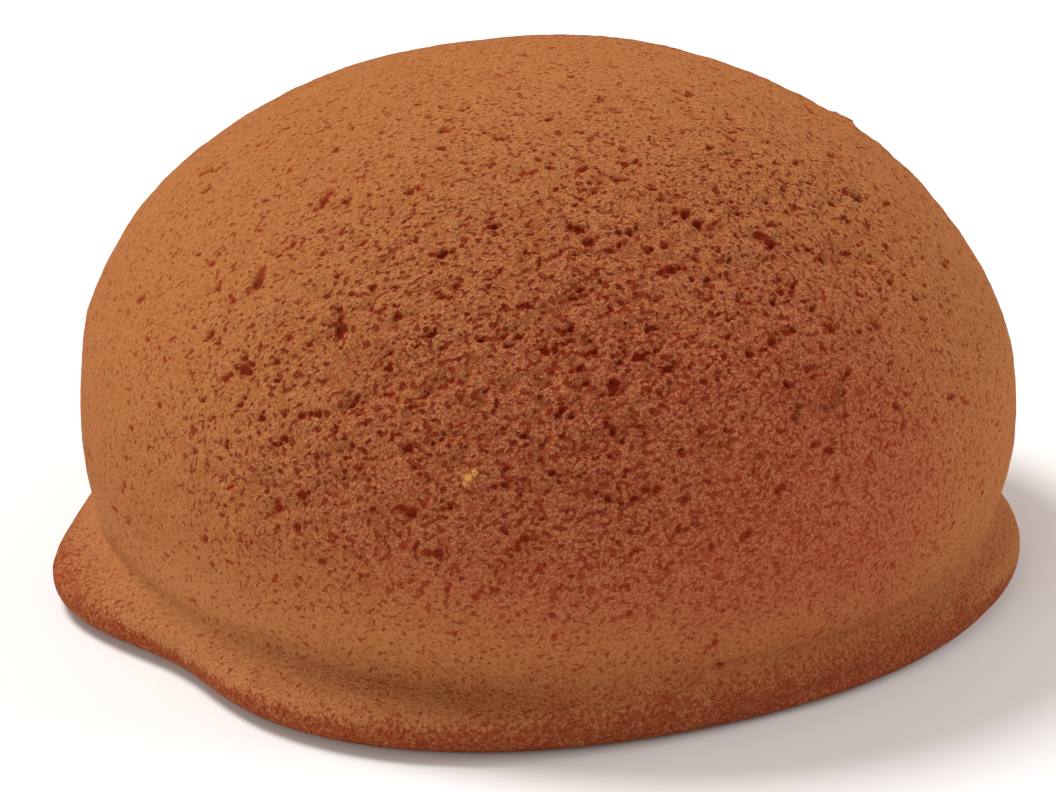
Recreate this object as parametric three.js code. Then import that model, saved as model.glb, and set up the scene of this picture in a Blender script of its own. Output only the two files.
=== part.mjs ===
import * as THREE from "three";

// A round, domed sweet bread roll with a thin baked cookie crust.
// It was baked as one piece: a high dome that narrows to a neck near the
// surface, and a brim where the soft topping ran down and spread out.
// Millimetres, +Z up. The origin is on the surface the roll rests on, under
// the middle of its footprint.

// The dome, an ellipse in section about the roll's widest height.
const DOME_RADIUS = 54.4;
const WIDEST_HEIGHT = 19.6;
const CROWN_RISE = 41.4;

// The dome rose a little askew: its flank sits towards +X and its crown
// towards -X.
const FLANK_OFFSET = 0.6;
const CROWN_OFFSET = -0.6;
const CROWN_LEVEL = 50;

// The neck, where the dome's flank turns out into the brim.
const NECK_HEIGHT = 7.9;
const NECK_SOFTNESS = 2.4;

// The brim, a soft lip of topping round the foot. Below its full height it
// curls in to the flat foot.
const BRIM_RADIUS = 54.9;
const LIP_HEIGHT = 3.4;
const LIP_SHOULDER = 2.6;
const LIP_UNDERCURL = 1.2;
const LIP_FULLNESS = 0.45;
const FOOT_INSET = 4.2;

// Where the topping ran out further or less far: azimuth in degrees from +X
// towards +Y, spread in degrees, and reach in millimetres.
const BRIM_LOBES = [
  { azimuth: 197, spread: 15, reach: 4.0 },
  { azimuth: 220, spread: 12, reach: -2.2 },
  { azimuth: 247, spread: 26, reach: 3.1 },
  { azimuth: 300, spread: 30, reach: -2.2 },
  { azimuth: 355, spread: 18, reach: 1.3 },
  { azimuth: 62, spread: 26, reach: 1.0 },
  { azimuth: 101, spread: 18, reach: -1.0 },
  { azimuth: 138, spread: 20, reach: 1.3 },
];

// The dome is hand-rolled, so it is a little out of round.
const DOME_LOBES = [
  { azimuth: 175, spread: 30, reach: 0.8 },
  { azimuth: 15, spread: 26, reach: 0.35 },
  { azimuth: 325, spread: 24, reach: -0.35 },
  { azimuth: 110, spread: 40, reach: -0.5 },
];

// The lobes grow from nothing on the axis to full reach at this radius.
const LOBES_FULL_RADIUS = 43.52;

const SIDES = 84;
const BASE_STEPS = 4;
const LIP_STEPS = 6;
const NECK_STEPS = 7;
const DOME_STEPS = 18;

// The radius of the dome's ellipse at one height.
function domeRadiusAt(height) {
  const rise = (height - WIDEST_HEIGHT) / CROWN_RISE;
  return DOME_RADIUS * Math.sqrt(1 - rise * rise);
}

// One half of the section through the axis, from the underside to the crown.
function sectionPoints() {
  const footRadius = BRIM_RADIUS - FOOT_INSET;
  const neckRadius = domeRadiusAt(NECK_HEIGHT);

  const base = new THREE.LineCurve(
    new THREE.Vector2(0, 0),
    new THREE.Vector2(footRadius, 0),
  );
  const underLip = new THREE.CubicBezierCurve(
    new THREE.Vector2(footRadius, 0),
    new THREE.Vector2(BRIM_RADIUS - LIP_UNDERCURL, 0),
    new THREE.Vector2(BRIM_RADIUS, LIP_HEIGHT * LIP_FULLNESS),
    new THREE.Vector2(BRIM_RADIUS, LIP_HEIGHT),
  );
  const shoulder = new THREE.CubicBezierCurve(
    new THREE.Vector2(BRIM_RADIUS, LIP_HEIGHT),
    new THREE.Vector2(BRIM_RADIUS, LIP_HEIGHT + LIP_SHOULDER),
    new THREE.Vector2(neckRadius, NECK_HEIGHT - NECK_SOFTNESS),
    new THREE.Vector2(neckRadius, NECK_HEIGHT),
  );
  const neckAngle = Math.asin((NECK_HEIGHT - WIDEST_HEIGHT) / CROWN_RISE);
  const dome = new THREE.EllipseCurve(
    0,
    WIDEST_HEIGHT,
    DOME_RADIUS,
    CROWN_RISE,
    neckAngle,
    Math.PI / 2,
  );

  const points = [
    ...base.getPoints(BASE_STEPS),
    ...underLip.getPoints(LIP_STEPS).slice(1),
    ...shoulder.getPoints(NECK_STEPS).slice(1),
    ...dome.getPoints(DOME_STEPS).slice(1),
  ];
  points[points.length - 1].x = 0;
  return points;
}

// How far a list of soft lobes pushes the surface out at one azimuth.
function lobeReach(lobes, azimuth) {
  let reach = 0;
  for (const lobe of lobes) {
    const turn = ((azimuth - lobe.azimuth + 540) % 360) - 180;
    reach += lobe.reach * Math.exp(-((turn / lobe.spread) ** 2));
  }
  return reach;
}

// The brim's lobes act in full on the lip and fade out up the neck and
// towards the middle of the underside. The dome's act on its flank.
function outwardShift(radius, height, azimuth) {
  const onBrim = 1 - THREE.MathUtils.smoothstep(height, LIP_HEIGHT, NECK_HEIGHT);
  const onDome = 1 - onBrim;
  const nearEdge = THREE.MathUtils.smoothstep(radius, 0, LOBES_FULL_RADIUS);
  const brim = onBrim * lobeReach(BRIM_LOBES, azimuth);
  const dome = onDome * lobeReach(DOME_LOBES, azimuth);
  return nearEdge * (brim + dome);
}

// How far the dome's middle is from the axis at one height.
function domeOffset(height) {
  const flank = THREE.MathUtils.smoothstep(height, LIP_HEIGHT, WIDEST_HEIGHT);
  const crown = THREE.MathUtils.smoothstep(height, WIDEST_HEIGHT, CROWN_LEVEL);
  return FLANK_OFFSET * flank + (CROWN_OFFSET - FLANK_OFFSET) * crown;
}

function rollGeometry() {
  const geometry = new THREE.LatheGeometry(sectionPoints(), SIDES);
  geometry.rotateX(Math.PI / 2);

  const place = geometry.attributes.position;
  for (let i = 0; i < place.count; i++) {
    const x = place.getX(i);
    const y = place.getY(i);
    const height = place.getZ(i);
    const radius = Math.hypot(x, y);
    const azimuth = THREE.MathUtils.radToDeg(Math.atan2(y, x));
    const shift = outwardShift(radius, height, azimuth);
    const spread = radius > 0 ? 1 + shift / radius : 1;
    place.setX(i, x * spread + domeOffset(height));
    place.setY(i, y * spread);
  }

  geometry.computeBoundingBox();
  const middle = geometry.boundingBox.getCenter(new THREE.Vector3());
  geometry.translate(-middle.x, -middle.y, -geometry.boundingBox.min.z);
  geometry.computeVertexNormals();
  return geometry;
}

const crust = new THREE.MeshStandardMaterial({
  color: 0xa9683c,
  roughness: 0.85,
  metalness: 0,
});

const roll = new THREE.Mesh(rollGeometry(), crust);
roll.name = "bread_roll";

const part = new THREE.Group();
part.add(roll);

export default part;
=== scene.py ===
import math
import random
from collections import namedtuple

import bmesh
import bpy
import numpy as np
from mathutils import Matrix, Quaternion, Vector, geometry, kdtree, noise


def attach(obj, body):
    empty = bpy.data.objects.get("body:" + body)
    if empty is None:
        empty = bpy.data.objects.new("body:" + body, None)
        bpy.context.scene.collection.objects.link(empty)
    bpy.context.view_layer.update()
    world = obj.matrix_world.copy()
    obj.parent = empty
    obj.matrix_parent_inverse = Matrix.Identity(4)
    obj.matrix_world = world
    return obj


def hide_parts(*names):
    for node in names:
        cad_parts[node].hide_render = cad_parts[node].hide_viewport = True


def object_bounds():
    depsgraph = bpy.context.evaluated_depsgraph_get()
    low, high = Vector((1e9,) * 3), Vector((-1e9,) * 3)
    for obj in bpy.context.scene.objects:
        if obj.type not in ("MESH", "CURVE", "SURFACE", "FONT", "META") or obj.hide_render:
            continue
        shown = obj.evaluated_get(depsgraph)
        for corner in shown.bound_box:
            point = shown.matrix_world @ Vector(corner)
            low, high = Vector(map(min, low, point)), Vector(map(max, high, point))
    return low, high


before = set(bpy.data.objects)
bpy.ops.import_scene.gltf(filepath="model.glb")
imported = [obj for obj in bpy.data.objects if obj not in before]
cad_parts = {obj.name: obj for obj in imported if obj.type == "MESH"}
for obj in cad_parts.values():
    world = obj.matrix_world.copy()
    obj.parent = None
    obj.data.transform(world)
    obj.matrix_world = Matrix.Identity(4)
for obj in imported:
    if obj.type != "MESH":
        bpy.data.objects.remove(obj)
cad_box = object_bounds()

# A round, domed sweet roll with a thin baked cookie crust, in one piece.
# Everything is in metres, +Z up, with the front of the roll towards -Y.
# Azimuths are in degrees from +X towards +Y, so the front is at 270.
MM = 0.001

# The dome's section, an ellipse about the roll's widest height.
DOME_RADIUS = 54.4 * MM
WIDEST_HEIGHT = 19.6 * MM
CROWN_RISE = 41.4 * MM

# The dome rose a little askew: its flank sits towards +X, its crown towards -X.
FLANK_OFFSET = 0.6 * MM
CROWN_OFFSET = -0.6 * MM
CROWN_LEVEL = 50 * MM

# The neck, where the flank turns out into the brim, and the brim's soft lip.
NECK_HEIGHT = 7.9 * MM
NECK_SOFTNESS = 2.4 * MM
BRIM_RADIUS = 54.9 * MM
LIP_HEIGHT = 3.4 * MM
LIP_SHOULDER = 2.6 * MM
LIP_UNDERCURL = 1.2 * MM
LIP_FULLNESS = 0.45
FOOT_INSET = 4.2 * MM

# Soft lobes: azimuth, spread in degrees, and reach. They grow from nothing on
# the axis to their full reach at one radius.
BRIM_LOBES = (
    (197, 15, 4.0 * MM),
    (220, 12, -2.2 * MM),
    (247, 26, 3.1 * MM),
    (300, 30, -2.2 * MM),
    (355, 18, 1.3 * MM),
    (62, 26, 1.0 * MM),
    (101, 18, -1.0 * MM),
    (138, 20, 1.3 * MM),
)
DOME_LOBES = (
    (175, 30, 0.8 * MM),
    (15, 26, 0.35 * MM),
    (325, 24, -0.35 * MM),
    (110, 40, -0.5 * MM),
)
LOBES_FULL_RADIUS = 0.8 * DOME_RADIUS


# --- soft steps and patches ------------------------------------------------


def ease(low, high, value):
    """0 below low, 1 above high, and a smooth step between."""
    share = np.clip((value - low) / (high - low), 0, 1)
    return share * share * (3 - 2 * share)


def azimuths(points):
    return np.degrees(np.arctan2(points[:, 1], points[:, 0]))


def lobe_reach(lobes, azimuth):
    """The sum of soft lobes, each an azimuth, a spread and an amount, at an azimuth."""
    reach = 0
    for middle, spread, amount in lobes:
        turn = (azimuth - middle + 540) % 360 - 180
        reach = reach + amount * np.exp(-((turn / spread) ** 2))
    return reach


def on_dome(azimuth, height):
    """The point of the smooth dome at one azimuth and height."""
    rise = (height - WIDEST_HEIGHT) / CROWN_RISE
    radius = DOME_RADIUS * math.sqrt(max(0, 1 - rise * rise))
    turn = math.radians(azimuth)
    return np.array((radius * math.cos(turn), radius * math.sin(turn), height))


def patch_sum(points, patches):
    """The sum of soft round patches, each an azimuth, a height, a spread and an amount."""
    total = np.zeros(len(points))
    for azimuth, height, spread, amount in patches:
        away = np.linalg.norm(points - on_dome(azimuth, height), axis=1)
        total += amount * np.exp(-((away / spread) ** 2))
    return total


# --- the smooth roll -------------------------------------------------------

BALL_LEVELS = 7
# How many points the section has along each of its stretches.
DOME_POINTS = 300
SHOULDER_POINTS = 40
UNDER_LIP_POINTS = 30
FOOT_POINTS = 40
# The flat foot gets a smaller share of the mesh than the crust does.
FOOT_TOP = 0.2 * MM
FOOT_SHARE = 0.22


def bezier(start, start_handle, end_handle, end, count):
    """Points of a curve in radius and height."""
    corners = [Vector((*corner, 0)) for corner in (start, start_handle, end_handle, end)]
    return [point.xy for point in geometry.interpolate_bezier(*corners, count)]


def roll_section():
    """Half the section, as radius and height, from the crown to the middle of the foot."""
    neck_turn = math.asin((NECK_HEIGHT - WIDEST_HEIGHT) / CROWN_RISE)
    neck_radius = DOME_RADIUS * math.cos(neck_turn)
    foot_radius = BRIM_RADIUS - FOOT_INSET
    dome = [
        Vector((DOME_RADIUS * math.cos(turn), WIDEST_HEIGHT + CROWN_RISE * math.sin(turn)))
        for turn in np.linspace(math.pi / 2, neck_turn, DOME_POINTS)
    ]
    shoulder = bezier(
        (neck_radius, NECK_HEIGHT),
        (neck_radius, NECK_HEIGHT - NECK_SOFTNESS),
        (BRIM_RADIUS, LIP_HEIGHT + LIP_SHOULDER),
        (BRIM_RADIUS, LIP_HEIGHT),
        SHOULDER_POINTS,
    )
    under_lip = bezier(
        (BRIM_RADIUS, LIP_HEIGHT),
        (BRIM_RADIUS, LIP_HEIGHT * LIP_FULLNESS),
        (BRIM_RADIUS - LIP_UNDERCURL, 0),
        (foot_radius, 0),
        UNDER_LIP_POINTS,
    )
    foot = [Vector((foot_radius * share, 0)) for share in np.linspace(1, 0, FOOT_POINTS)]
    return np.array(dome + shoulder[1:] + under_lip[1:] + foot[1:])


def shape_points(points):
    """Moves points of a unit ball onto the smooth roll, spaced evenly over its crust."""
    section = roll_section()
    middle = (section[1:] + section[:-1]) / 2
    step = np.linalg.norm(np.diff(section, axis=0), axis=1)
    density = np.where(middle[:, 1] > FOOT_TOP, 1, FOOT_SHARE)
    share = np.concatenate(([0], np.cumsum(middle[:, 0] * step * density)))
    share /= share[-1]

    from_top = (1 - points[:, 2]) / 2
    radius = np.interp(from_top, share, section[:, 0])
    height = np.interp(from_top, share, section[:, 1])
    turn = np.arctan2(points[:, 1], points[:, 0])

    azimuth = np.degrees(turn)
    on_brim = 1 - ease(LIP_HEIGHT, NECK_HEIGHT, height)
    near_edge = ease(0, LOBES_FULL_RADIUS, radius)
    brim_reach = on_brim * lobe_reach(BRIM_LOBES, azimuth)
    dome_reach = (1 - on_brim) * lobe_reach(DOME_LOBES, azimuth)
    radius = radius + near_edge * (brim_reach + dome_reach)
    flank = ease(LIP_HEIGHT, WIDEST_HEIGHT, height)
    crown = ease(WIDEST_HEIGHT, CROWN_LEVEL, height)
    offset = FLANK_OFFSET * flank + (CROWN_OFFSET - FLANK_OFFSET) * crown
    return np.column_stack((radius * np.cos(turn) + offset, radius * np.sin(turn), height))


def read_points(bm):
    return np.array([vert.co for vert in bm.verts])


def write_points(bm, points):
    for vert, place in zip(bm.verts, points):
        vert.co = place


def smooth_roll():
    """The roll without its relief, as a ball of even triangles drawn onto its shape."""
    bm = bmesh.new()
    bmesh.ops.create_icosphere(bm, subdivisions=BALL_LEVELS, radius=1)
    ball = np.array([vert.co.normalized() for vert in bm.verts])
    write_points(bm, shape_points(ball))
    bmesh.ops.recalc_face_normals(bm, faces=bm.faces)
    return bm


# --- where the crust is open or closed, pale or browned --------------------

# Azimuth, height, spread, amount.
OPEN_PATCHES = (
    (266, 43 * MM, 34 * MM, 0.95),
    (325, 50 * MM, 22 * MM, 0.55),
    (236, 28 * MM, 14 * MM, 0.32),
    (35, 44 * MM, 24 * MM, 0.40),
    (100, 42 * MM, 28 * MM, 0.50),
    (160, 34 * MM, 18 * MM, 0.25),
)
BAKED_PATCHES = (
    (288, 29 * MM, 35 * MM, 0.90),
    (250, 24 * MM, 18 * MM, 0.30),
    (312, 33 * MM, 14 * MM, 0.12),
    (308, 6 * MM, 15 * MM, 0.80),
    (95, 36 * MM, 34 * MM, 0.75),
    (40, 32 * MM, 16 * MM, 0.20),
)
# Low down the crust stays closed, and is less browned, up to these soft lines.
CLOSED_BAND = (9 * MM, 27 * MM)
LIGHT_BAND = (8 * MM, 22 * MM)
LIGHT_BAND_BROWNING = 0.45


def openness(points):
    """How open the crust's texture is, from 0 on smooth crust to 1."""
    above_band = ease(*CLOSED_BAND, points[:, 2])
    return above_band * np.clip(patch_sum(points, OPEN_PATCHES), 0, 1)


def browning(points):
    """How far the dome is browned, from 0 to 1."""
    above_band = ease(*LIGHT_BAND, points[:, 2])
    share = LIGHT_BAND_BROWNING + (1 - LIGHT_BAND_BROWNING) * above_band
    return share * np.clip(patch_sum(points, BAKED_PATCHES), 0, 1)


# --- pores -----------------------------------------------------------------

# The crust's streaks slant up towards +X.
STREAK_TILT = math.radians(27)
STREAK = Vector((math.cos(STREAK_TILT), 0, math.sin(STREAK_TILT)))

PORE_SEED = 41
PORES_TRIED = 2900
LOWEST_PORE = 8 * MM
SMALLEST_PORE = 0.30 * MM
LARGEST_PORE = 0.85 * MM
USUAL_GROWTH = 0.12 * MM
# The chance that a pore opens in plain crust, and what open and baked crust add to it.
PLAIN_CHANCE = 0.05
OPEN_CHANCE = 0.80
BAKED_CHANCE = 0.15
# How far pores turn away from the streaks, in radians, how much longer than
# wide they get, and how deep they are, as a share of their radius.
PORE_TURN = 0.5
PORE_STRETCH = 0.5
PORE_DEPTHS = (0.45, 0.85)
# Some pores run into a smaller twin. Its place, size and depth are shares of the pore's radius.
TWIN_CHANCE = 0.45
TWIN_ALONG = 1.5
TWIN_ASIDE = 0.4
TWIN_SIZES = (0.6, 0.85)
TWIN_DEPTHS = (0.4, 0.7)

# A pore opens round its middle, radius wide, and stretch times longer along one direction.
Pore = namedtuple("Pore", "middle normal along radius stretch depth")


def scatter_pores(bm):
    """Chooses the pores, evenly over the crust's area but mostly where it is open."""
    draw = random.Random(PORE_SEED)
    faces = [face for face in bm.faces if face.calc_center_median().z > LOWEST_PORE]
    areas = np.cumsum([face.calc_area() for face in faces])
    middles = np.array([face.calc_center_median() for face in faces])
    chances = PLAIN_CHANCE + OPEN_CHANCE * openness(middles) + BAKED_CHANCE * browning(middles)
    pores = []
    for _ in range(PORES_TRIED):
        index = int(np.searchsorted(areas, draw.random() * areas[-1]))
        face = faces[index]
        weights = [draw.expovariate(1) for _ in face.verts]
        middle = sum((v.co * w for v, w in zip(face.verts, weights)), Vector()) / sum(weights)
        if draw.random() > chances[index]:
            continue
        normal = face.normal.copy()
        along = STREAK.cross(normal).cross(-normal).normalized()
        along = Quaternion(normal, draw.gauss(0, PORE_TURN)) @ along
        radius = min(SMALLEST_PORE + draw.expovariate(1 / USUAL_GROWTH), LARGEST_PORE)
        stretch = 1 + PORE_STRETCH * draw.random()
        pores.append(Pore(middle, normal, along, radius, stretch, draw.uniform(*PORE_DEPTHS)))
        if draw.random() < TWIN_CHANCE:
            ahead = along * radius * draw.choice((-TWIN_ALONG, TWIN_ALONG))
            beside = middle + ahead + normal.cross(along) * radius * TWIN_ASIDE
            smaller = radius * draw.uniform(*TWIN_SIZES)
            stretch = 1 + PORE_STRETCH * draw.random()
            pores.append(Pore(beside, normal, along, smaller, stretch, draw.uniform(*TWIN_DEPTHS)))
    return pores


# Small dark tears at the neck: azimuth, height, radius. Below the brim's top
# they are in the brim, above it in the foot of the dome.
NECK_TEARS = (
    (248, 7.7 * MM, 0.75 * MM),
    (258, 7.2 * MM, 0.45 * MM),
    (268, 6.3 * MM, 0.55 * MM),
    (274, 9.7 * MM, 0.35 * MM),
    (291, 7.8 * MM, 0.55 * MM),
)
BRIM_TOP = 7 * MM
DOME_FOOT_RADIUS = 0.965 * DOME_RADIUS
TEAR_LOBE_SHARE = 0.6
TEAR_STRETCH = 1.5
TEAR_DEPTH = 1.1


def neck_tears():
    """The neck's tears, as pores that run round the roll."""
    tears = []
    for azimuth, height, radius in NECK_TEARS:
        turn = math.radians(azimuth)
        normal = Vector((math.cos(turn), math.sin(turn), 0))
        along = Vector((-math.sin(turn), math.cos(turn), 0))
        reach = BRIM_RADIUS if height < BRIM_TOP else DOME_FOOT_RADIUS
        reach += TEAR_LOBE_SHARE * lobe_reach(BRIM_LOBES, azimuth)
        middle = Vector((0, 0, height)) + normal * reach
        tears.append(Pore(middle, normal, along, radius, TEAR_STRETCH, TEAR_DEPTH))
    return tears


# In shares of a pore's radius: its rim is ragged at two sizes, which may carry
# it out by the margin, and its wall slopes from the top down to the foot.
RIM_WAVE_SIZE = 1.1
RIM_WAVE = 0.7
RIM_NICK_SIZE = 0.45
RIM_NICK = 0.4
WALL_FOOT = 0.25
WALL_TOP = 1.15
RIM_MARGIN = 0.8


def pore_depths(bm, pores):
    """How deep each vertex sinks in a pore, and how far down its wall it is."""
    sink = np.zeros(len(bm.verts))
    wall_share = np.zeros(len(bm.verts))
    tree = vertex_tree(bm)
    for middle, normal, along, radius, stretch, depth in pores:
        beside = normal.cross(along)
        for place, index, _ in tree.find_range(middle, radius * (stretch + RIM_MARGIN)):
            offset = place - middle
            wave = RIM_WAVE * noise.noise(place / (RIM_WAVE_SIZE * radius))
            nick = RIM_NICK * noise.noise(place / (RIM_NICK_SIZE * radius))
            across = math.hypot(offset.dot(along) / stretch, offset.dot(beside))
            away = across / (radius * (1 + wave + nick))
            if away < WALL_TOP:
                wall = float(1 - ease(WALL_FOOT, WALL_TOP, away))
                sink[index] = max(sink[index], depth * radius * wall)
                wall_share[index] = max(wall_share[index], wall)
    return sink, wall_share


# --- ledges and crumbs -----------------------------------------------------

# Curved ledges, where the crust sank or lifted behind a sharp lower rim:
# azimuth, height, half width, half height, depth.
LEDGES = (
    (306, 36.8 * MM, 4.4 * MM, 2.8 * MM, 0.70 * MM),
    (17, 50.6 * MM, 3.0 * MM, 1.8 * MM, -0.45 * MM),
    (120, 40.0 * MM, 3.0 * MM, 2.0 * MM, 0.45 * MM),
)
# Their rims wave. In shares of their size, they are level as far as the floor,
# and run out upwards from below the middle.
LEDGE_WAVE_SIZE = 1.6 * MM
LEDGE_WAVE = 0.5
LEDGE_FLOOR = 0.78
LEDGE_SLOPE = 0.8
# Pale crumbs stuck on the crust: azimuth, height, radius.
GOLDEN_CRUMBS = (
    (261.0, 31.0 * MM, 0.50 * MM),
    (261.7, 31.5 * MM, 0.42 * MM),
    (260.6, 30.4 * MM, 0.30 * MM),
)
CRUMB_TOP = 0.6
CRUMB_FOOT = 1.1


def ledge_depths(points):
    """How far the ledges sink the crust."""
    sink = np.zeros(len(points))
    for azimuth, height, half_width, half_height, depth in LEDGES:
        turn = math.radians(azimuth)
        offset = points - on_dome(azimuth, height)
        across = offset @ np.array((-math.sin(turn), math.cos(turn), 0))
        outward = offset @ np.array((math.cos(turn), math.sin(turn), 0))
        above = np.sign(offset[:, 2]) * np.hypot(offset[:, 2], outward)
        waves = np.array([noise.noise(Vector(point) / LEDGE_WAVE_SIZE) for point in points])
        away = np.hypot(across / half_width, above / half_height) * (1 + LEDGE_WAVE * waves)
        inside = 1 - ease(LEDGE_FLOOR, 1.0, away)
        fall = 1 - ease(-LEDGE_SLOPE * half_height, half_height, above)
        sink += depth * inside * fall
    return sink


def crumb_shares(points):
    """1 on each golden crumb, 0 elsewhere."""
    share = np.zeros(len(points))
    for azimuth, height, radius in GOLDEN_CRUMBS:
        away = np.linalg.norm(points - on_dome(azimuth, height), axis=1)
        share = np.maximum(share, 1 - ease(CRUMB_TOP * radius, CRUMB_FOOT * radius, away))
    return share


# --- a mesh as fine as its details -----------------------------------------


def vertex_tree(bm):
    bm.verts.index_update()
    tree = kdtree.KDTree(len(bm.verts))
    for vert in bm.verts:
        tree.insert(vert.co, vert.index)
    tree.balance()
    return tree


# The longest edge on plain crust, on open crust, along the seam underneath,
# round a pore, ledge or crumb, and inside one.
COARSE_EDGE = 2 * MM
OPEN_EDGE = 0.45 * MM
SEAM_EDGE = 1.2 * MM
DETAIL_EDGE = 0.45 * MM
FINEST_EDGE = 0.30 * MM
# The front is meshed as open crust, and the underside as seam, from these shares up.
OPEN_ENOUGH = 0.68
SEAM_ENOUGH = 0.05
# How far the two finer edges reach round a detail, as a share of its size, plus a margin.
DETAIL_REACH = 1.1
FINEST_REACH = 0.85
REACH_MARGIN = 0.1 * MM


def split_long_edges(bm, limit):
    """Splits the edges that are longer than one of their ends allows."""
    edges = [
        edge for edge in bm.edges
        if edge.calc_length() > min(limit[edge.verts[0].index], limit[edge.verts[1].index])
    ]
    bmesh.ops.subdivide_edges(bm, edges=edges, cuts=1, use_grid_fill=True)
    bmesh.ops.triangulate(bm, faces=[face for face in bm.faces if len(face.verts) > 3])
    # A vertex with only two faces is the tip of a flat sliver that lies on itself.
    tips = [vert for vert in bm.verts if len(vert.link_faces) == 2]
    bmesh.ops.delete(bm, geom=tips, context="VERTS")


def refine_crust(bm, pores):
    """Makes the mesh finer where the crust is most open, and finest in each pore."""
    bm.verts.index_update()
    points = read_points(bm)
    limit = np.full(len(points), COARSE_EDGE)
    limit[(openness(points) > OPEN_ENOUGH) & (points[:, 1] < 0)] = OPEN_EDGE
    limit[seam_share(points) > SEAM_ENOUGH] = SEAM_EDGE
    split_long_edges(bm, limit)
    details = [(pore.middle, pore.radius * pore.stretch) for pore in pores]
    for azimuth, height, size, *_ in LEDGES + GOLDEN_CRUMBS:
        details.append((Vector(on_dome(azimuth, height)), size))
    for reach, edge in ((DETAIL_REACH, DETAIL_EDGE), (FINEST_REACH, FINEST_EDGE)):
        tree = vertex_tree(bm)
        limit = np.full(len(bm.verts), COARSE_EDGE)
        for middle, size in details:
            for _, index, _ in tree.find_range(middle, size * reach + REACH_MARGIN):
                limit[index] = edge
        split_long_edges(bm, limit)
    bm.normal_update()


# --- relief of the crust ---------------------------------------------------

# Low swellings and dents of the dome: azimuth, height, spread, rise.
SWELLINGS = (
    (183, 31 * MM, 5 * MM, 0.5 * MM),
    (357, 19 * MM, 5 * MM, -0.6 * MM),
)
# Waves of the crust by size, from broad swells to lumps, and the wrinkles
# between the lumps. The last two run longer along the streaks.
SWELL_SIZE = 17 * MM
DENT_SIZE = 6 * MM
LUMP_SIZE = 2.3 * MM
LUMP_STRETCH = 1.6
WRINKLE_SIZE = 3.4 * MM
WRINKLE_STRETCH = 2.2
WRINKLE_WIDTH = 0.16
# Their heights, and what open crust adds to them. Swells fade out above the brim.
SWELL_RISE = 0.35 * MM
SWELLS_FULL_HEIGHT = 16 * MM
DENT_RISE = 0.07 * MM
OPEN_DENT_RISE = 0.14 * MM
LUMP_RISE = 0.05 * MM
OPEN_LUMP_RISE = 0.31 * MM
WRINKLE_DEPTH = 0.28 * MM
# How far wrinkles and the feet of lumps count as hollows, which get painted shade, less so on
# closed crust.
HOLLOW_WIDTH = 0.22
WRINKLE_HOLLOW = 0.7
LUMP_HOLLOW = 0.9
CLOSED_HOLLOW = 0.2


def streaked(point, stretch):
    """A point seen along the streaks, so that noise in it runs stretch times longer."""
    along = point.dot(STREAK)
    across = point.z * math.cos(STREAK_TILT) - point.x * math.sin(STREAK_TILT)
    return Vector((along / stretch, point.y, across))


def layered_noise(places, falloff, layers):
    """Noise in layers, each half as large as the one before."""
    return np.array([noise.fractal(place, falloff, 2.0, layers) for place in places])


def relief(points, open_at):
    """How far the crust rises along its normals, and how far it is a hollow that gets painted
    shade, from 0 to 1.
    """
    places = [Vector(point) for point in points]
    swells = np.array([noise.noise(place / SWELL_SIZE) for place in places])
    dents = layered_noise([place / DENT_SIZE for place in places], 0.9, 2)
    lumps = layered_noise([streaked(p, LUMP_STRETCH) / LUMP_SIZE for p in places], 0.7, 3)
    folds = layered_noise([streaked(p, WRINKLE_STRETCH) / WRINKLE_SIZE for p in places], 0.9, 2)
    from_wrinkle = np.abs(folds)

    above_brim = ease(NECK_HEIGHT, SWELLS_FULL_HEIGHT, points[:, 2])
    lift = swells * SWELL_RISE * above_brim
    lift += dents * (DENT_RISE + OPEN_DENT_RISE * open_at)
    lift += lumps * (LUMP_RISE + OPEN_LUMP_RISE * open_at)
    lift -= (1 - ease(0, WRINKLE_WIDTH, from_wrinkle)) * WRINKLE_DEPTH * open_at
    lift += patch_sum(points, SWELLINGS)

    in_wrinkle = 1 - ease(0, HOLLOW_WIDTH, from_wrinkle)
    low = np.clip(WRINKLE_HOLLOW * in_wrinkle - LUMP_HOLLOW * lumps, 0, 1)
    return lift, low * (CLOSED_HOLLOW + (1 - CLOSED_HOLLOW) * open_at)


# --- the neck and the brim -------------------------------------------------

# A fold under the lip on the right, sunk and given painted shade. Its line climbs as it goes
# round.
FOLD_AZIMUTH = 305
FOLD_SPREAD = 11
FOLD_HEIGHT = 2.7 * MM
FOLD_CLIMB = 0.09 * MM
FOLD_WIDTH = 0.7 * MM
FOLD_DEPTH = 0.55 * MM


def lip_fold(points):
    """How far each point lies in the fold under the lip, from 0 to 1."""
    turn = azimuths(points) % 360 - FOLD_AZIMUTH
    line = FOLD_HEIGHT + turn * FOLD_CLIMB
    return np.exp(-((turn / FOLD_SPREAD) ** 2) - ((points[:, 2] - line) / FOLD_WIDTH) ** 2)


# The crease above the brim, sunk and given painted shade, faint all round, and where it is
# stronger:
# # azimuth, spread, strength.
CREASE_HEIGHT = 0.94 * NECK_HEIGHT
CREASE_WIDTH = 1.1 * MM
CREASE_DEPTH = 0.4 * MM
FAINT_CREASE = 0.15
NECK_CREASES = (
    (226, 22, 0.35),
    (262, 16, 0.30),
    (305, 24, 0.8),
    (345, 14, 0.5),
    (60, 40, 0.7),
    (140, 30, 0.6),
)


def neck_crease(points):
    """How far each point lies in the crease between flank and brim, from 0 to 1."""
    strength = np.clip(FAINT_CREASE + lobe_reach(NECK_CREASES, azimuths(points)), 0, 1)
    return strength * np.exp(-(((points[:, 2] - CREASE_HEIGHT) / CREASE_WIDTH) ** 2))


# Where the brim is duller than the flank above it, up to a soft line at the
# neck: azimuth, spread, strength.
BRIM_SHADES = ((314, 25, 1.0), (268, 14, 0.3))
SHADE_LINE = (NECK_HEIGHT - 0.6 * MM, NECK_HEIGHT + 0.9 * MM)


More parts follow.
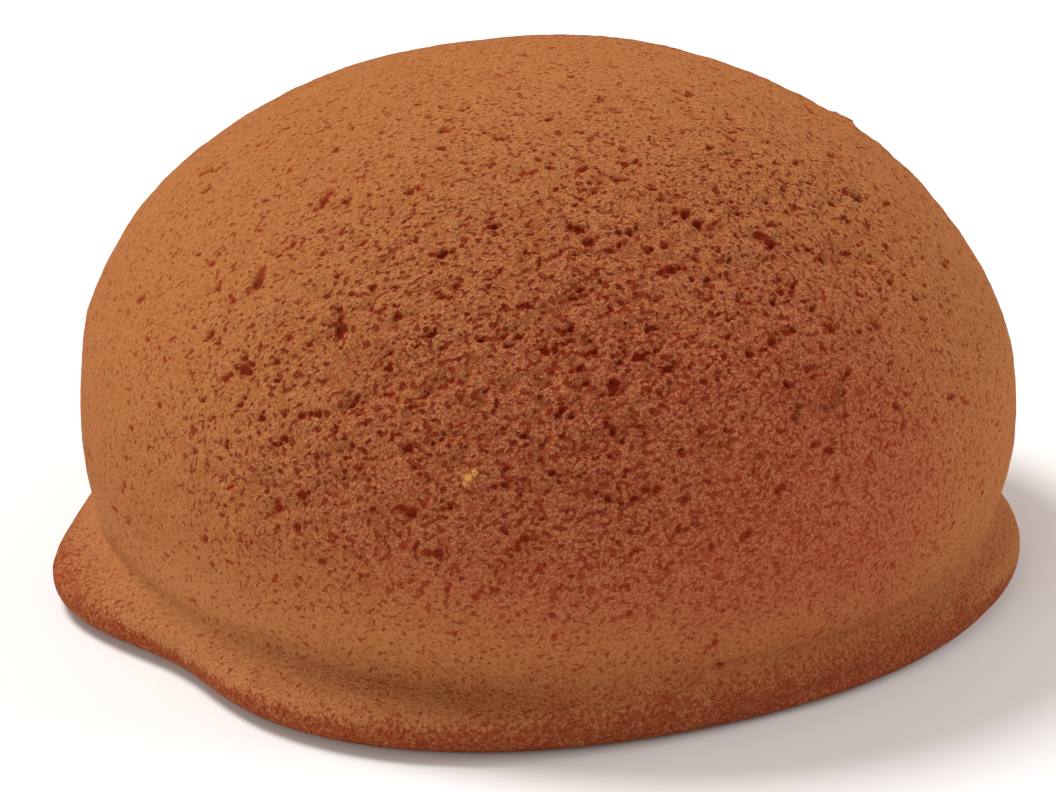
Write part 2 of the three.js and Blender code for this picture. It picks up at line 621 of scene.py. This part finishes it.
def brim_shade(points):
    """How dull the brim is, from 0 to 1."""
    below_neck = 1 - ease(*SHADE_LINE, points[:, 2])
    return np.clip(lobe_reach(BRIM_SHADES, azimuths(points)), 0, 1) * below_neck


# Where the brim and the foot of the flank stayed pale, up to another soft
# line: azimuth, spread, strength.
PALE_STRETCHES = ((214, 36, 1.0), (185, 14, 0.3), (360, 16, 1.0))
PALE_LINE = (10 * MM, 18 * MM)


def paleness(points):
    """How pale the crust stayed low down, from 0 to 1."""
    low_down = 1 - ease(*PALE_LINE, points[:, 2])
    return np.clip(lobe_reach(PALE_STRETCHES, azimuths(points)), 0, 1) * low_down


# The brim's edge is browned from this height down. From there the brown is
# full for one distance up and in, and gone at a second, which is greater at
# some azimuths: azimuth, spread, how much greater.
EDGE_START = 0.6 * LIP_HEIGHT
EDGE_FULL = 0.8 * MM
EDGE_WIDTH = 3.3 * MM
EDGE_RISES = (
    (288, 22, 3.6 * MM),
    (320, 18, 2.4 * MM),
    (195, 14, 3.8 * MM),
    (352, 16, -2.0 * MM),
    (219, 10, -2.0 * MM),
    (252, 12, -0.6 * MM),
    (100, 60, 0.8 * MM),
)


def edge_browning(points):
    """How browned the brim's outer edge is, from 0 to 1."""
    azimuth = azimuths(points)
    outermost = BRIM_RADIUS + lobe_reach(BRIM_LOBES, azimuth)
    inward = outermost - np.hypot(points[:, 0], points[:, 1])
    above = np.maximum(points[:, 2] - EDGE_START, 0)
    away = np.hypot(np.maximum(inward, 0), above)
    return 1 - ease(EDGE_FULL, EDGE_WIDTH + lobe_reach(EDGE_RISES, azimuth), away)


# --- the underside ---------------------------------------------------------

# The topping's skirt ends in a seam that wanders round a disc of plain dough.
SEAM_RADIUS = 43.5 * MM
SEAM_WIDTH = 1.4 * MM
SEAM_WANDER = 1.6 * MM
SEAM_RISE = 0.4 * MM
SEAM_BENDS = 2
SEAM_LAYER = 7
# The disc inside it is pitted. The underside's marks end between two low heights.
PIT_SIZE = 6 * MM
PIT_DEPTH = 0.6 * MM
DISC_EDGE = 1.5 * MM
UNDERSIDE = (0.02 * MM, 0.5 * MM)


def seam_share(points):
    """1 in the middle of the seam under the roll, 0 away from it."""
    radius = np.hypot(points[:, 0], points[:, 1])
    turns = np.arctan2(points[:, 1], points[:, 0])
    bends = [(SEAM_BENDS * math.cos(turn), SEAM_BENDS * math.sin(turn)) for turn in turns]
    wander = np.array([noise.noise(Vector((*bend, SEAM_LAYER))) for bend in bends])
    away = (radius - SEAM_RADIUS - SEAM_WANDER * wander) / SEAM_WIDTH
    return np.exp(-(away**2)) * underneath(points)


def underneath(points):
    """1 on the flat foot, 0 above it."""
    return 1 - ease(*UNDERSIDE, points[:, 2])


def foot_relief(points):
    """How far the underside rises above the surface that the roll rests on."""
    radius = np.hypot(points[:, 0], points[:, 1])
    on_disc = 1 - ease(SEAM_RADIUS - DISC_EDGE, SEAM_RADIUS + DISC_EDGE, radius)
    pits = np.clip(layered_noise([Vector(point) / PIT_SIZE for point in points], 0.8, 3), 0, 1)
    return underneath(points) * (pits * PIT_DEPTH * on_disc + SEAM_RISE * seam_share(points))


# --- the roll --------------------------------------------------------------

# The relief fades in above the foot, between these heights.
RELIEF_LINE = (0.1 * MM, 1.5 * MM)
CRUMB_RISE = 0.35 * MM
# A ledge this deep is a full hollow, with full painted shade.
DEEP_LEDGE = 1.2 * MM
# The crust is sandy below the first height, and no longer is from the second.
SANDY_LINE = (5 * MM, 10 * MM)


def bread_roll():
    """The roll with its relief, and with marks of where its finish changes and where shade is
    painted.
    """
    bm = smooth_roll()
    pores = scatter_pores(bm) + neck_tears()
    refine_crust(bm, pores)
    points = read_points(bm)
    normals = np.array([vert.normal for vert in bm.verts])
    open_at = openness(points)
    crease = neck_crease(points)
    fold = lip_fold(points)
    crumb = crumb_shares(points)
    ledge = ledge_depths(points)
    sink, pore_share = pore_depths(bm, pores)
    lift, low = relief(points, open_at)
    low = np.maximum(low, np.clip(ledge / DEEP_LEDGE, 0, 1))
    lift += CRUMB_RISE * crumb - sink - ledge
    lift -= CREASE_DEPTH * crease + FOLD_DEPTH * fold
    lift *= ease(*RELIEF_LINE, points[:, 2])
    moved = points + normals * lift[:, None]
    moved[:, 2] += foot_relief(points)
    write_points(bm, fit_in_box(moved))

    mesh = bpy.data.meshes.new("bread_roll")
    bm.to_mesh(mesh)
    bm.free()
    mesh.shade_smooth()
    # Some marks carry painted shade: the pores, the crease and fold, and the low places darken the
    # colour.
    marks = {
        "open": open_at,
        "baked": browning(points),
        "pore": pore_share,
        "crease": np.maximum(crease, fold),
        "crumb": crumb,
        "low": low,
        "under": underneath(points),
        "seam": seam_share(points),
        "sandy": 1 - ease(*SANDY_LINE, points[:, 2]),
        "edge": edge_browning(points),
        "shade": brim_shade(points),
        "pale": paleness(points),
    }
    for name, values in marks.items():
        layer = mesh.attributes.new(name, "FLOAT", "POINT")
        layer.data.foreach_set("value", np.asarray(values, np.float32))

    piece = bpy.data.objects.new("crusted_roll", mesh)
    bpy.context.scene.collection.objects.link(piece)
    return piece


def fit_in_box(points):
    """Shrinks the roll where it needs it, so that it stands in the middle of the frame's box."""
    low, high = (np.array(corner) for corner in cad_box)
    lowest, highest = points.min(0), points.max(0)
    scale = np.minimum(1, (high - low) / (highest - lowest))
    fitted = (points - (lowest + highest) / 2) * scale + (low + high) / 2
    fitted[:, 2] -= fitted[:, 2].min()
    return fitted


# --- finishes --------------------------------------------------------------


class Value:
    """What a node gives at each point, with arithmetic that adds Math nodes."""

    def __init__(self, finish, socket):
        self.finish = finish
        self.socket = socket

    def maths(self, operation, first, second):
        return self.finish.node("ShaderNodeMath", {"operation": operation}, {0: first, 1: second})

    def __add__(self, other):
        return self.maths("ADD", self, other)

    def __radd__(self, other):
        return self.maths("ADD", other, self)

    def __sub__(self, other):
        return self.maths("SUBTRACT", self, other)

    def __rsub__(self, other):
        return self.maths("SUBTRACT", other, self)

    def __mul__(self, other):
        return self.maths("MULTIPLY", self, other)

    def __rmul__(self, other):
        return self.maths("MULTIPLY", other, self)


class Finish:
    """A material while it is being made."""

    def __init__(self, name):
        self.material = bpy.data.materials.new(name)
        self.material.use_nodes = True
        self.tree = self.material.node_tree
        self.tree.nodes.clear()

    def node(self, kind, settings, sockets, out=0):
        """Adds a node with its settings and the values or links of its sockets."""
        new = self.tree.nodes.new(kind)
        for name, value in settings.items():
            setattr(new, name, value)
        for name, value in sockets.items():
            if isinstance(value, Value):
                self.tree.links.new(value.socket, new.inputs[name])
            else:
                new.inputs[name].default_value = value
        return Value(self, new.outputs[out]) if new.outputs else None

    def attribute(self, name):
        return self.node("ShaderNodeAttribute", {"attribute_name": name}, {}, out="Fac")

    def step(self, value, low, high):
        """0 below low, 1 above high, smooth between."""
        return self.node(
            "ShaderNodeMapRange",
            {"interpolation_type": "SMOOTHSTEP"},
            {"Value": value, "From Min": low, "From Max": high},
        )

    def higher(self, first, second):
        return self.node("ShaderNodeMath", {"operation": "MAXIMUM"}, {0: first, 1: second})

    def mix(self, factor, first, second):
        """The first colour where the factor is 0, the second where it is 1."""
        # The node's colours go in at sockets 6 and 7, and come out at 2.
        return self.node(
            "ShaderNodeMix",
            {"data_type": "RGBA"},
            {0: factor, 6: first, 7: second},
            out=2,
        )

    def noise(self, place, size, detail=2.0, roughness=0.5, out="Fac"):
        """Soft patches of about one size, from 0 to 1 and mostly near a half."""
        return self.node(
            "ShaderNodeTexNoise",
            {"noise_dimensions": "3D"},
            {"Vector": place, "Scale": 1 / size, "Detail": detail, "Roughness": roughness},
            out=out,
        )

    def cells(self, place, size):
        """0 in the middle of each cell, rising towards its edges."""
        return self.node(
            "ShaderNodeTexVoronoi",
            {"feature": "F1"},
            {"Vector": place, "Scale": 1 / size},
            out="Distance",
        )


# Colours of the crust.
TAN = (0.392, 0.149, 0.042, 1)
BROWN = (0.330, 0.070, 0.031, 1)
# Red-brown of the hollows, partly the crust's own tone and partly painted shade.
HOLLOW_RED_AND_SHADE = (0.285, 0.041, 0.012, 1)
# Pale tan of the crests and the sandy band, with painted highlight on the crests.
CREST_TAN_AND_HIGHLIGHT = (0.525, 0.192, 0.078, 1)
# The pits' red rim and dark floor are partly their own colour and partly painted shade.
PORE_RIM_RED_AND_SHADE = (0.355, 0.052, 0.016, 1)
PORE_FLOOR_SHADE = (0.195, 0.012, 0.003, 1)
BLUSH = (0.360, 0.075, 0.026, 1)
FOOT_BROWN = (0.480, 0.230, 0.085, 1)
EDGE_BROWN = (0.238, 0.043, 0.015, 1)
EDGE_RED = (0.300, 0.051, 0.014, 1)
# Painted shade in the neck's crease and the fold under the lip.
PAINTED_CREASE_SHADE = (0.250, 0.080, 0.026, 1)
DULL_BROWN = (0.235, 0.088, 0.034, 1)
PALE_TAN = (0.485, 0.203, 0.068, 1)
GOLD = (0.700, 0.330, 0.080, 1)

# Sizes of the crust's textures, from the finest grit to the broad clouds of brown.
GRIT = 0.26 * MM
SAND = 0.30 * MM
GRAIN = 0.34 * MM
FRECKLES = 0.50 * MM
POCKS = 0.58 * MM
CRUMBS = 0.85 * MM
HOLES = 1.35 * MM
MOTTLES = 4.5 * MM
CLOUDS = 14 * MM
# Grit, crumbs, pocks, grain and holes run longer along the streaks, and a finer
# noise stirs the last two.
STREAK_LENGTH = 1.25
STIR_SIZE = 0.5 * MM
STIR_REACH = 0.45 * MM
# The height that the textures' shares of the bump are taken from.
BUMP_HEIGHT = 1.0 * MM
CRUST_ROUGHNESS = 0.85
CRUST_SHEEN = 0.05


def baked_crust():
    """Grained tan crust that browns in patches, with red-brown edge and hollows. Hollows, pits and
    creases carry painted shade, and crests painted highlight.
    """
    f = Finish("baked_crust")
    place = f.node("ShaderNodeTexCoord", {}, {}, out="Object")
    slanted = f.node(
        "ShaderNodeMapping",
        {"vector_type": "TEXTURE"},
        {"Vector": place, "Rotation": (0, -STREAK_TILT, 0), "Scale": (STREAK_LENGTH, 1, 1)},
    )
    stir = f.noise(place, STIR_SIZE, out="Color")
    stirred = f.node(
        "ShaderNodeVectorMath",
        {"operation": "MULTIPLY_ADD"},
        {0: stir, 1: (STIR_REACH, STIR_REACH, STIR_REACH), 2: slanted},
    )
    opened = f.attribute("open")
    baked = f.attribute("baked")
    sandy = f.attribute("sandy")
    pale = f.attribute("pale")
    edge = f.attribute("edge")
    low = f.attribute("low")

    grain = 1 - f.step(f.cells(stirred, GRAIN), 0.25, 0.85)
    grit = f.noise(slanted, GRIT, 2.0, 0.7)
    crumbs = f.noise(slanted, CRUMBS, 3.0, 0.65)
    sand = f.noise(place, SAND, 2.0, 0.6)
    freckles = f.noise(place, FRECKLES, 3.0, 0.65)
    mottle = f.noise(place, MOTTLES, 3.0, 0.55)
    clouds = f.noise(place, CLOUDS, 2.0, 0.5)

    # Pocks and holes are wider, and so closer together, on open crust.
    pock_edge = 0.283 + 0.062 * opened + 0.048 * baked
    pock = 1 - f.step(f.noise(slanted, POCKS, 1.0, 0.4), pock_edge, pock_edge + 0.06)
    ragged_hole = f.cells(stirred, HOLES) + (grit - 0.5) * 0.25
    hole = 1 - f.step(ragged_hole, 0.03 + 0.08 * opened, 0.10 + 0.16 * opened)

    # Each texture's height on closed crust, and what open crust adds to it.
    height = (
        grain * (0.055 + 0.085 * opened)
        + grit * (0.150 + 0.080 * opened)
        + sand * (0.48 * sandy)
        + crumbs * (0.14 + 0.46 * opened)
        - pock * (0.20 + 0.12 * opened)
        - hole * (0.12 + 0.22 * opened)
    )

    # The ground colour: tan, browned in clouds, sandy and blushing low down.
    brown = f.step(baked + (clouds - 0.5) * 0.30 + (mottle - 0.5) * 0.20, 0.0, 1.1)
    colour = f.mix(brown, TAN, BROWN)
    colour = f.mix(sandy * (1 - baked) * 0.4, colour, CREST_TAN_AND_HIGHLIGHT)
    colour = f.mix(f.step(mottle, 0.54, 0.66) * sandy * 0.40, colour, BLUSH)
    colour = f.mix(pale * 0.8, colour, PALE_TAN)
    colour = f.mix(f.attribute("shade") * 0.5, colour, DULL_BROWN)

    # The brim's freckled edge, the underside, and painted shade in the neck's crease and the fold
    # under the lip.
    freckled_edge = edge + (mottle - 0.5) * 1.1 + (freckles - 0.5) * 4.4
    edge_colour = f.mix(pale, EDGE_BROWN, EDGE_RED)
    colour = f.mix(f.step(freckled_edge, 0.22, 1.00), colour, edge_colour)
    colour = f.mix(f.attribute("under") * f.step(mottle, 0.25, 0.60), colour, FOOT_BROWN)
    colour = f.mix(f.attribute("seam") * 0.8, colour, EDGE_BROWN)
    colour = f.mix(f.attribute("crease") * 0.35, colour, PAINTED_CREASE_SHADE)

    # Pale crests and red-brown hollows of the grain and of the relief's low places: partly the
    # crust's own tone,
    # # partly painted highlight on the crests and painted shade in the hollows.
    rise = grain * 0.30 + grit * 0.40 + crumbs * 0.30
    valley_red_and_shade = 1 - f.step(rise, 0.37, 0.50)
    crest_tan_and_highlight = f.step(rise, 0.49, 0.66)
    crest_tan_and_highlight_share = 0.20 + 0.44 * opened + 0.10 * baked + 0.12 * edge
    valley_red_and_shade_share = 0.32 + 0.04 * opened + 0.24 * baked
    sand_hollow_red_and_shade = 1 - f.step(sand, 0.34, 0.50)
    colour = f.mix(low * 0.28, colour, HOLLOW_RED_AND_SHADE)
    colour = f.mix(crest_tan_and_highlight * crest_tan_and_highlight_share * (1 - 0.5 * low), colour, CREST_TAN_AND_HIGHLIGHT)
    colour = f.mix(valley_red_and_shade * valley_red_and_shade_share, colour, HOLLOW_RED_AND_SHADE)
    colour = f.mix(sand_hollow_red_and_shade * sandy * 0.45, colour, HOLLOW_RED_AND_SHADE)

    # Pocks, holes and pores turn red at their rim and darken to their floor: partly the pits' own
    # red, partly painted shade.
    sunk_red_and_shade = f.higher(f.higher(pock * 0.65, hole), f.attribute("pore")) + (grit - 0.5) * 0.3
    colour = f.mix(f.step(sunk_red_and_shade, 0.18, 0.50) * 0.75, colour, PORE_RIM_RED_AND_SHADE)
    colour = f.mix(f.step(sunk_red_and_shade, 0.42, 0.78) * (0.32 + 0.68 * opened), colour, PORE_FLOOR_SHADE)
    colour = f.mix(f.attribute("crumb"), colour, GOLD)

    normal = f.node(
        "ShaderNodeBump",
        {},
        {"Strength": 1.0, "Distance": BUMP_HEIGHT, "Height": height},
    )
    shader = f.node(
        "ShaderNodeBsdfPrincipled",
        {},
        {
            "Base Color": colour,
            "Roughness": CRUST_ROUGHNESS,
            "Specular IOR Level": CRUST_SHEEN,
            "Normal": normal,
        },
    )
    f.node("ShaderNodeOutputMaterial", {}, {"Surface": shader})
    return f.material


# --- the studio ------------------------------------------------------------

FLOOR_SIZE = 4
FLOOR_COLOUR = (0.86, 0.86, 0.86, 1)
FLOOR_ROUGHNESS = 0.9
# Soft round lights: name, place, width, power. All shine at the roll's middle.
LIGHTS = (
    ("key", (-0.42, 0.22, 0.78), 0.35, 7.0),
    ("right_fill", (0.75, 0.05, 0.35), 0.6, 3.8),
    ("front_fill", (-0.45, -0.85, 0.36), 0.7, 3.4),
)
ROLL_MIDDLE = (0, 0, 0.03)
AIR_COLOUR = (1, 0.92, 0.85, 1)
AIR_STRENGTH = 0.38


def pale_floor():
    f = Finish("pale_floor")
    shader = f.node(
        "ShaderNodeBsdfPrincipled",
        {},
        {"Base Color": FLOOR_COLOUR, "Roughness": FLOOR_ROUGHNESS},
    )
    f.node("ShaderNodeOutputMaterial", {}, {"Surface": shader})
    return f.material


def studio_floor():
    bm = bmesh.new()
    bmesh.ops.create_grid(bm, x_segments=1, y_segments=1, size=FLOOR_SIZE)
    mesh = bpy.data.meshes.new("floor")
    bm.to_mesh(mesh)
    bm.free()
    mesh.materials.append(pale_floor())
    floor = bpy.data.objects.new("floor", mesh)
    bpy.context.scene.collection.objects.link(floor)


def look_at(thing, target):
    thing.rotation_euler = (Vector(target) - thing.location).to_track_quat("-Z", "Y").to_euler()


def soft_light(name, place, width, power):
    lamp = bpy.data.lights.new(name, "AREA")
    lamp.shape = "DISK"
    lamp.size = width
    lamp.energy = power
    light = bpy.data.objects.new(name, lamp)
    light.location = place
    look_at(light, ROLL_MIDDLE)
    bpy.context.scene.collection.objects.link(light)


def studio():
    studio_floor()
    for name, place, width, power in LIGHTS:
        soft_light(name, place, width, power)
    world = bpy.data.worlds.new("studio_air")
    world.use_nodes = True
    air = world.node_tree.nodes["Background"]
    air.inputs["Color"].default_value = AIR_COLOUR
    air.inputs["Strength"].default_value = AIR_STRENGTH
    bpy.context.scene.world = world
    bpy.context.scene.view_settings.view_transform = "Standard"


# The camera stands in front of the roll and looks down at it a little.
VIEW_ELEVATION = math.radians(21.5)
VIEW_DISTANCE = 0.45
VIEW_TARGET = Vector((-1.5 * MM, 0, 20 * MM))
LENS = 130.9
SENSOR_WIDTH = 36


def camera():
    data = bpy.data.cameras.new("camera")
    data.lens = LENS
    data.sensor_width = SENSOR_WIDTH
    view = bpy.data.objects.new("camera", data)
    back = Vector((0, -math.cos(VIEW_ELEVATION), math.sin(VIEW_ELEVATION)))
    view.location = VIEW_TARGET + back * VIEW_DISTANCE
    look_at(view, VIEW_TARGET)
    bpy.context.scene.collection.objects.link(view)
    bpy.context.scene.camera = view


camera()
studio()
roll = bread_roll()
roll.data.materials.append(baked_crust())
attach(roll, "root")
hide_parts("bread_roll")
